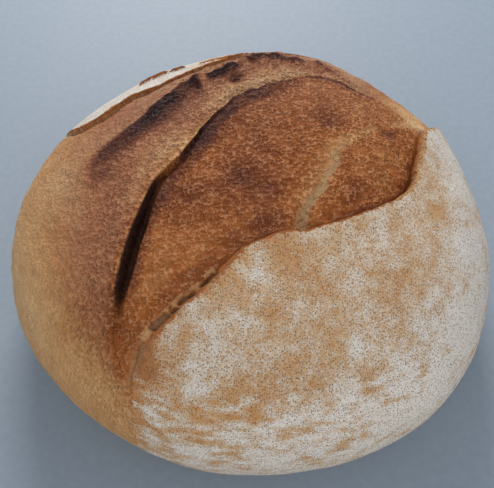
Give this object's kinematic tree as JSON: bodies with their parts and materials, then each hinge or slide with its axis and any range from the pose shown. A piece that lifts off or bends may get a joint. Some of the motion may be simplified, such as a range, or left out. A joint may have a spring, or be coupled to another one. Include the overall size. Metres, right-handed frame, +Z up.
{
  "type": "sourdough bread",
  "caption": "Whole round hearth-baked loaf with a crust that has burst open along its score, torn lips, a folded ridge and a flat base.",
  "frame": {"origin": "middle of the flat base, on the surface the loaf stands on", "axes": "+Z up, from the base to the crown; -Y towards the floured front, +X to the right of someone looking from the front"},
  "size_m": [0.2407, 0.2404, 0.1086],
  "materials": {
    "crust": "browned, pebbled crust, floured on the front, right and back"
  },
  "bodies": {
    "root": {"loaf": "crust"}
  },
  "joints": []
}
